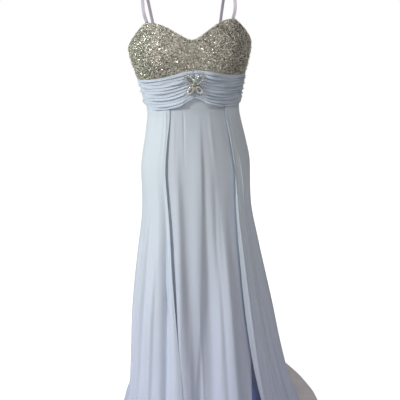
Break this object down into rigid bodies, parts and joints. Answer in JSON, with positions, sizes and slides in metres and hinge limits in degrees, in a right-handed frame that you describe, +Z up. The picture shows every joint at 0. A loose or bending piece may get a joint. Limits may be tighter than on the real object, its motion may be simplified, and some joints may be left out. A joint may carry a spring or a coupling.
{
  "type": "sleeveless formal dress",
  "caption": "Floor-length evening gown, hollow as worn: beaded sweetheart bodice, pleated band with butterfly brooch, open overskirt, train and back zip.",
  "frame": {"origin": "the worn dress's upright axis at shoulder level, where the straps rest on the wearer; the floor is 1.445 m below", "axes": "+Z up, -Y to the front of the dress, +X to the wearer's left side"},
  "size_m": [0.7424, 0.8456, 1.4449],
  "materials": {
    "chiffon": "sheer matt chiffon, pale ice blue",
    "lining": "plain matt lining, warm grey",
    "beaded": "net covered with small sequins and beads",
    "strap_satin": "satin ribbon",
    "brooch_metal": "antique gilt cast metal",
    "crystal": "clear faceted glass",
    "green_stone": "pale green faceted glass",
    "zip_tape": "woven tape",
    "zip_metal": "painted die-cast metal"
  },
  "bodies": {
    "dress": {"overskirt_front_left": "chiffon", "overskirt_front_right": "chiffon", "overskirt_back_left": "chiffon", "overskirt_back_right": "chiffon", "skirt_front_panel": "chiffon", "band_front_left": "chiffon", "band_front_right": "chiffon", "band_back_left": "chiffon", "band_back_right": "chiffon", "underskirt_front_left": "lining", "underskirt_front_right": "lining", "underskirt_back_left": "lining", "underskirt_back_right": "lining", "bodice_cup_left": "beaded", "bodice_cup_right": "beaded", "bodice_side_left": "beaded", "bodice_side_right": "beaded", "bodice_back_left": "beaded", "bodice_back_right": "beaded", "strap_left": "strap_satin", "strap_right": "strap_satin", "brooch_setting": "brooch_metal", "brooch_stone_head": "crystal", "brooch_stone_tail": "crystal", "brooch_stone_upper_left": "crystal", "brooch_stone_upper_right": "crystal", "brooch_stone_lower_left": "crystal", "brooch_stone_lower_right": "crystal", "brooch_stone_centre": "green_stone", "zip_tape": "zip_tape", "zip_slider": "zip_metal"},
    "zip_pull": {"zip_pull": "zip_metal"}
  },
  "joints": [
    {"name": "zip_pull_swing", "type": "hinge", "parent": "dress", "child": "zip_pull", "pos_m": [0, 0.10024, -0.207], "axis": [1, 0, 0], "range_deg": [0, 150]}
  ]
}
